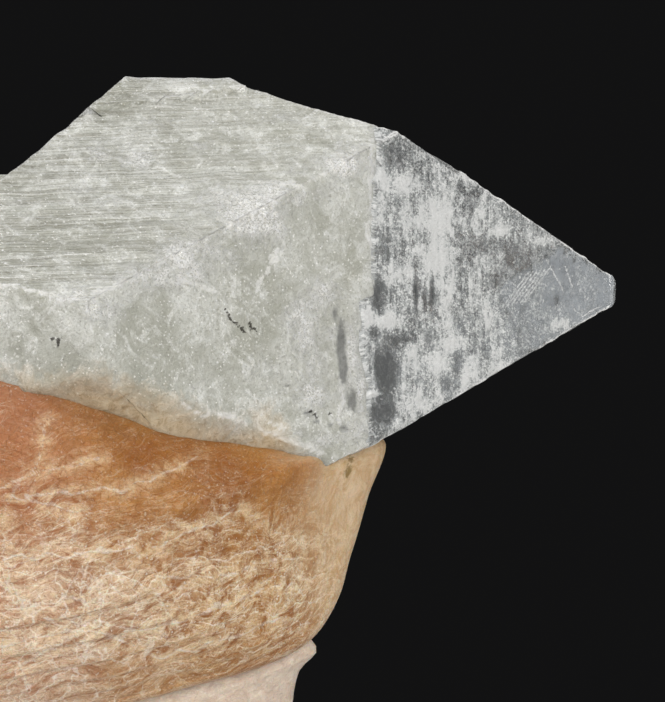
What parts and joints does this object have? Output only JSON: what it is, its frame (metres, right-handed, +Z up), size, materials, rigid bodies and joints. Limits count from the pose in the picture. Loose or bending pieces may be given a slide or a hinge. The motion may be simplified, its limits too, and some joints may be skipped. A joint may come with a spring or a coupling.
{
  "type": "apophyllite with stilbite mineral specimen",
  "caption": "Mineral specimen: a pointed, striated, partly clear apophyllite crystal lying across a sheaf of peach stilbite blades, cut flat below to rest.",
  "frame": {"origin": "on the flat cut that the specimen rests on, near the middle of its plan", "axes": "+Z up; +X along the apophyllite's c axis towards its tip; -Y towards the side of the broad pyramid face"},
  "size_m": [0.0656, 0.0395, 0.0548],
  "materials": {
    "apophyllite": "vitreous, striated, milky body with a clear tip",
    "stilbite": "pearly to silky, translucent peach, with white growth lines and cracks"
  },
  "bodies": {
    "root": {"apophyllite_crystal": "apophyllite", "stilbite_sheaf": "stilbite"}
  },
  "joints": []
}
